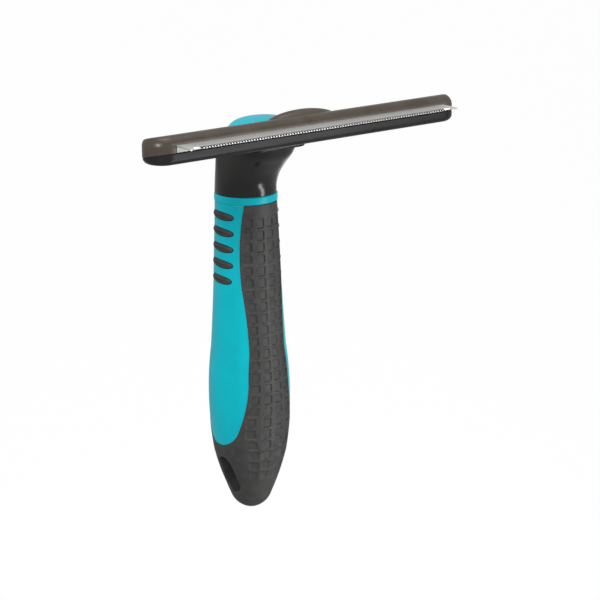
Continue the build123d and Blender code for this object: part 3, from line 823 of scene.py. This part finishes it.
def blade_piece():
    """Steel plate with a slight ground bevel and fine teeth."""
    cols = blade_outline()
    verts, faces, index = [], [], {}

    def vertex(i, y, upper):
        key = (i, round(y, 4), upper)
        if key not in index:
            index[key] = len(verts)
            verts.append((cols[i][0], y, PLATE_TOP - max(0.0, BEVEL_Y - y) * BEVEL_FALL if upper else PLATE_FOOT))
        return index[key]

    for i in range(len(cols) - 1):
        k, a, b = i + 1, cols[i][1], cols[i + 1][1]
        for upper in (True, False):
            for y0, y1 in ((PLATE_REAR, BEVEL_Y), (BEVEL_Y, ROOT_Y)):
                faces.append([vertex(i, y0, upper), vertex(k, y0, upper), vertex(k, y1, upper), vertex(i, y1, upper)])
            front = [vertex(i, ROOT_Y, upper), vertex(k, ROOT_Y, upper)]
            if b < ROOT_Y:
                front.append(vertex(k, b, upper))
            if a < ROOT_Y:
                front.append(vertex(i, a, upper))
            if len(front) > 2:
                faces.append(front)
        faces.append([vertex(i, a, True), vertex(k, b, True), vertex(k, b, False), vertex(i, a, False)])
        faces.append([vertex(i, PLATE_REAR, True), vertex(i, PLATE_REAR, False),
                      vertex(k, PLATE_REAR, False), vertex(k, PLATE_REAR, True)])
    for i in (0, len(cols) - 1):
        edge = [PLATE_REAR, BEVEL_Y, ROOT_Y, HORN_Y]
        faces.append([vertex(i, y, True) for y in edge] + [vertex(i, y, False) for y in edge[::-1]])
    obj = new_object("toothed_blade", verts, faces, "tool", blade_mat)
    weld(obj, 1e-8)
    cut(obj, drilled(HEAD_SCREWS, 150, 156, 1.35))
    soften(obj, 4)
    # painted shade: the punched walls between the teeth get a dark, dull steel so that the gaps read as shadowed
    obj.data.materials.append(tooth_gap_shade_mat)
    toothed_half = (TEETH * PITCH / 2 - 0.23) * MM
    for face in obj.data.polygons:
        behind_tips = (TIP_Y + 0.15) * MM < face.center.y < (ROOT_Y + 0.6) * MM
        if abs(face.normal.z) < 0.3 and abs(face.center.x) < toothed_half and behind_tips:
            face.material_index = 1
    return obj


toothed = blade_piece()
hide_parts("blade")


# ---------------------------------------------------------------- button
def button_piece():
    """Oval thumb button with a domed top, hollow where the carriage's plate enters from the front."""
    half_x, half_y, mid_y, shoulder, dome = 14.0, 10.3, -9.9, 145.2, 5.68
    t = np.linspace(0, 2 * math.pi, 160, endpoint=False)
    rings = []
    for inset, z in ((0.35, 141.7), (0.1, 141.8), (0.0, 142.0), (0.0, 143.0), (0.0, 144.2), (0.0, shoulder)):
        rings.append(at(np.stack([(half_x - inset) * np.cos(t), mid_y + (half_y - inset) * np.sin(t)], 1), z))
    for a in np.radians([8, 16, 24, 32, 40, 48, 56, 63, 70, 76, 81, 85, 88, 89.5, 90]):
        k = max(math.cos(a), 0.0) ** 0.62
        plan = np.stack([half_x * k * np.cos(t), mid_y + half_y * k * np.sin(t)], 1)
        rings.append(at(plan, shoulder + dome * math.sin(a)))
    faces = grid_faces(len(rings), len(t), wrap=True) + end_caps(len(rings), len(t), top=False)
    obj = new_object("thumb_button", np.concatenate(rings), faces, "ejector", teal_gloss)
    weld(obj, WELD_RINGS)
    cut(obj, block(-8.6, 8.6, -30.0, -3.0, 130.0, 147.4), block(-6.85, 6.85, -30.0, -3.0, 130.0, 148.43))
    soften(obj, 35, 0.12)
    return obj


button = button_piece()
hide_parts("eject_button")


# ---------------------------------------------------------------- return springs
WIRE_R, COIL_R, COIL_Z, COIL_TURNS, DEAD_TURNS = 0.2, 1.2, 145.7, 8.0, 1.0


def spring_piece(word, x):
    """Drawn wire round the guide rod, a closed turn at each end."""
    low, high = SPRING_FIXED + WIRE_R + 0.1, SPRING_SEAT - WIRE_R - 0.1
    closed = 2.1 * WIRE_R * DEAD_TURNS
    turn = np.linspace(0, COIL_TURNS, int(COIL_TURNS * 36) + 1)
    y = np.interp(turn, [0, DEAD_TURNS, COIL_TURNS - DEAD_TURNS, COIL_TURNS], [low, low + closed, high - closed, high])
    angle = turn * 2 * math.pi
    around = np.linspace(0, 2 * math.pi, 12, endpoint=False)
    rings = []
    for a, along, rise in zip(angle, y, np.gradient(y, angle)):
        out = np.array([math.cos(a), 0, math.sin(a)])
        tangent = np.array([-COIL_R * math.sin(a), rise, COIL_R * math.cos(a)])
        side = np.cross(tangent / np.linalg.norm(tangent), out)
        centre = np.array([x, along, COIL_Z]) + COIL_R * out
        rings.append(centre + WIRE_R * (np.outer(np.cos(around), out) + np.outer(np.sin(around), side)))
    obj = stack_of_rings(f"{word}_spring", rings, spring_mat, caps=True)
    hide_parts(f"return_spring_{word}")
    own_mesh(obj)


spring_piece("left", -4.3)
spring_piece("right", 4.3)

# ---------------------------------------------------------------- CAD nodes that keep their shape
KEEP = {"ejector_strip": strip_shaded_mat, "ejector_carriage": black, "guide_rod_left": screw_mat,
        "guide_rod_right": screw_mat, "head_screws": screw_mat, "neck_screws": screw_mat,
        "neck_pin": screw_mat, "strip_rivets": screw_mat}
for name, mat in KEEP.items():
    kept = nodes[name].data.materials
    kept.clear()
    kept.append(mat)


# ---------------------------------------------------------------- stage, light, camera
def backdrop(size, location, rotation, mat):
    """Square sheet of light behind the object."""
    h = size / 2 / MM
    obj = scratch("backdrop", [(-h, -h, 0), (h, -h, 0), (h, h, 0), (-h, h, 0)], [(0, 1, 2, 3)])
    obj.location, obj.rotation_euler = location, rotation
    obj.data.materials.append(mat)


def glow(name, strength):
    """White backdrop material, faintly uneven."""
    mat, nt, p = node_material(name)
    p.inputs["Base Color"].default_value = (0.0, 0.0, 0.0, 1)
    p.inputs["Specular IOR Level"].default_value = 0.0
    nt.links.new(ramp_between(nt, noise(nt, 0.8, 1), (0.985, 0.985, 0.985), (1, 1, 1)), p.inputs["Emission Color"])
    p.inputs["Emission Strength"].default_value = strength
    return mat


world = bpy.data.worlds.new("studio")
bpy.context.scene.world = world
world.use_nodes = True
world.node_tree.nodes["Background"].inputs[0].default_value = (1, 1, 1, 1)
world.node_tree.nodes["Background"].inputs[1].default_value = 0.42


def area(name, energy, size, location, target, size_y=None):
    """Area light aimed at a point; size_y makes it a rectangle."""
    data = bpy.data.lights.new(name, "AREA")
    data.energy, data.size = energy, size
    if size_y:
        data.shape, data.size_y = "RECTANGLE", size_y
    obj = bpy.data.objects.new(name, data)
    obj.location = location
    obj.rotation_euler = (Vector(target) - Vector(location)).to_track_quat("-Z", "Y").to_euler()
    bpy.context.scene.collection.objects.link(obj)


area("key", 7, 0.35, (-0.75, -0.45, 0.65), (0, 0, 0.08))
area("top", 3.0, 0.6, (0.1, 0.0, 1.0), (0, 0, 0.1))
area("strip", 5.0, 0.16, (0.42, -0.66, -0.02), (0, 0, 0.10), 1.3)

camera_data = bpy.data.cameras.new("camera")
camera = bpy.data.objects.new("camera", camera_data)
bpy.context.scene.collection.objects.link(camera)
camera_data.sensor_width, camera_data.lens = 36.0, 117.0
heading, pitch, roll = math.radians(37), math.radians(16), math.radians(0.6)
camera.location = (-0.4345, -0.6113, 0.2897)
look = Vector((math.sin(heading) * math.cos(pitch), math.cos(heading) * math.cos(pitch), -math.sin(pitch)))
camera.rotation_mode = "QUATERNION"
camera.rotation_quaternion = look.to_track_quat("-Z", "Y") @ Matrix.Rotation(-roll, 4, "Z").to_quaternion()
bpy.context.scene.camera = camera
backdrop(0.72, camera.location + look * 1.75, (-look).to_track_quat("Z", "Y").to_euler(), glow("studio_white", 1.0))

bpy.context.scene.view_settings.view_transform = "Standard"
bpy.context.view_layer.update()
